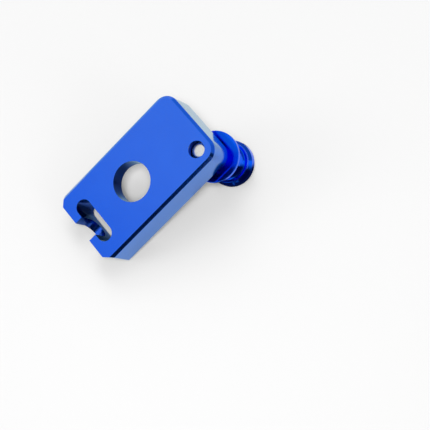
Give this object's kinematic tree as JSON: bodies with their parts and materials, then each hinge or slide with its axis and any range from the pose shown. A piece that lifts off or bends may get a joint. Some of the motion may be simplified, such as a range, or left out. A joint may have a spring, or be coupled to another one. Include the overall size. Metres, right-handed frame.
{
  "type": "motorcycle chain adjuster",
  "caption": "Machined plate that carries a motorcycle's rear axle and takes an adjuster bolt, with a lifting spool held on its back by a screw.",
  "frame": {"origin": "axis of the axle bore on the plate's front face, the one that lies against the swing arm", "axes": "+X along the plate to the spool end, +Z out of the front face, so the spool points along -Z"},
  "size_m": [0.0827, 0.0462, 0.0472],
  "materials": {
    "blue_plate": "blue anodised, satin front face and bright sides",
    "blue_turning": "blue anodised, bright turned",
    "screw_steel": "bare stainless steel, turned"
  },
  "bodies": {
    "root": {"adjuster_block": "blue_plate", "spool": "blue_turning", "spool_screw": "screw_steel"}
  },
  "joints": []
}
